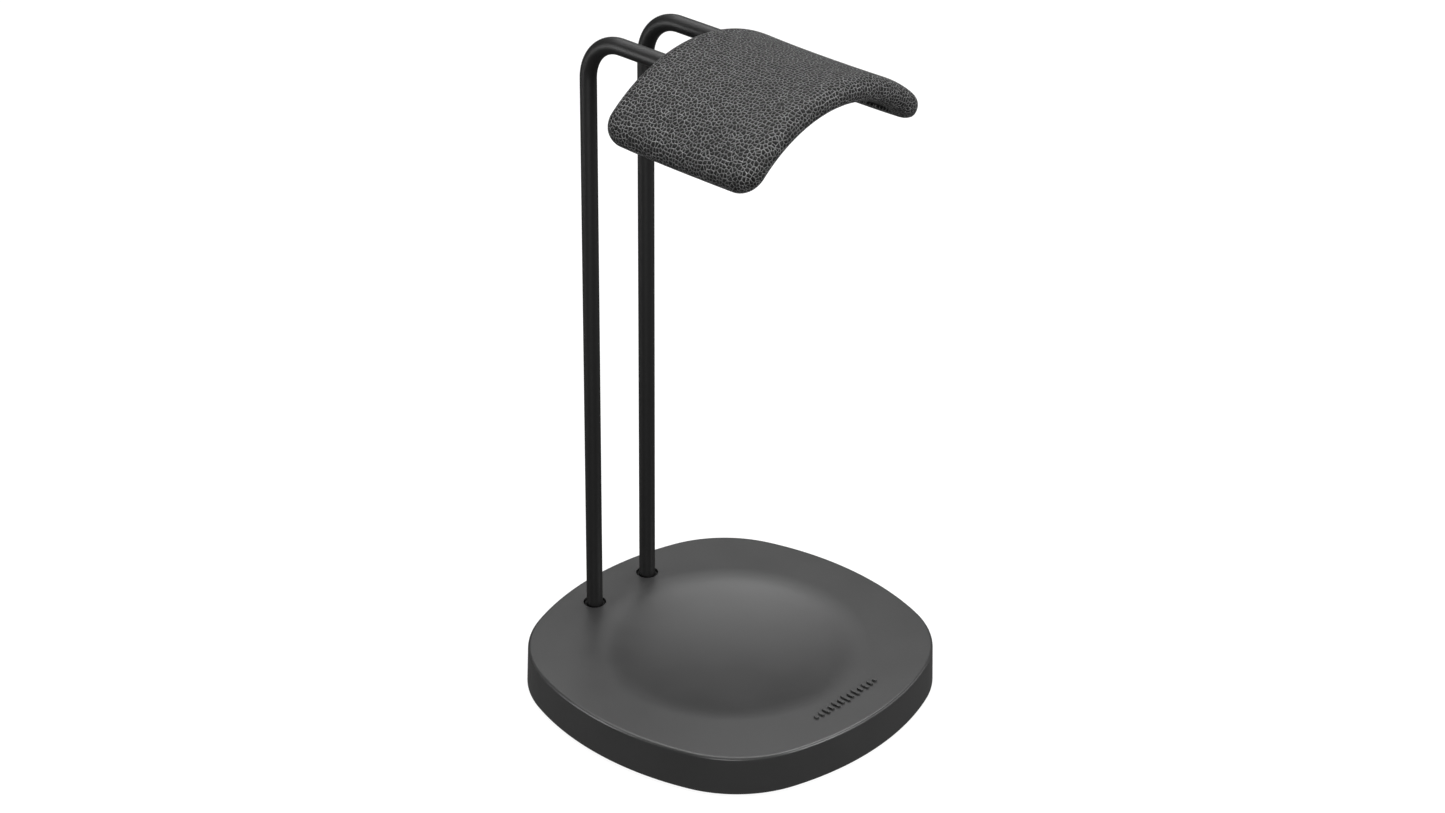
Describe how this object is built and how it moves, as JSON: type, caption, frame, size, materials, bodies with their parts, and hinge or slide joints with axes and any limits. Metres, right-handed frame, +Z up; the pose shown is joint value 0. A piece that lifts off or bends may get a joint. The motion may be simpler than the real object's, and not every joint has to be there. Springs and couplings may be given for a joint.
{
  "type": "headphone stand",
  "caption": "Desktop headphone stand: a weighted rounded-square base with a shallow dish, two bent steel rods and an arched saddle padded in leatherette.",
  "frame": {"origin": "on the surface the stand rests on, below the middle of the base", "axes": "+Z up; the front of the stand, which the arms reach towards, is -Y; +X is to the right seen from the front"},
  "size_m": [0.1506, 0.1506, 0.2705],
  "materials": {
    "soft_touch": "soft-touch matte, very dark grey",
    "black_paint": "satin black powder coat",
    "black_plastic": "moulded, fine texture",
    "rubber": "matte black",
    "ballast_iron": "as cast",
    "screw_steel": "zinc plated",
    "foam": "open-cell foam",
    "leatherette": "pebbled grain, satin, black"
  },
  "bodies": {
    "root": {"base_shell": "soft_touch", "base_ballast": "ballast_iron", "base_cover": "black_plastic", "foot_pad_1": "rubber", "foot_pad_2": "rubber", "foot_pad_3": "rubber", "foot_pad_4": "rubber", "cover_screw_1": "screw_steel", "cover_screw_2": "screw_steel", "cover_screw_3": "screw_steel", "cover_screw_4": "screw_steel", "stem_rod_left": "black_paint", "stem_rod_right": "black_paint", "rod_bushing_left": "rubber", "rod_bushing_right": "rubber", "rod_washer_left": "screw_steel", "rod_washer_right": "screw_steel", "rod_bolt_left": "screw_steel", "rod_bolt_right": "screw_steel", "saddle_plate": "black_paint", "saddle_former": "black_plastic", "saddle_foam": "foam", "saddle_cover": "leatherette", "arm_screw_1": "screw_steel", "arm_screw_2": "screw_steel", "arm_screw_3": "screw_steel", "arm_screw_4": "screw_steel", "plate_screw_1": "screw_steel", "plate_screw_2": "screw_steel", "plate_screw_3": "screw_steel", "plate_screw_4": "screw_steel"}
  },
  "joints": []
}
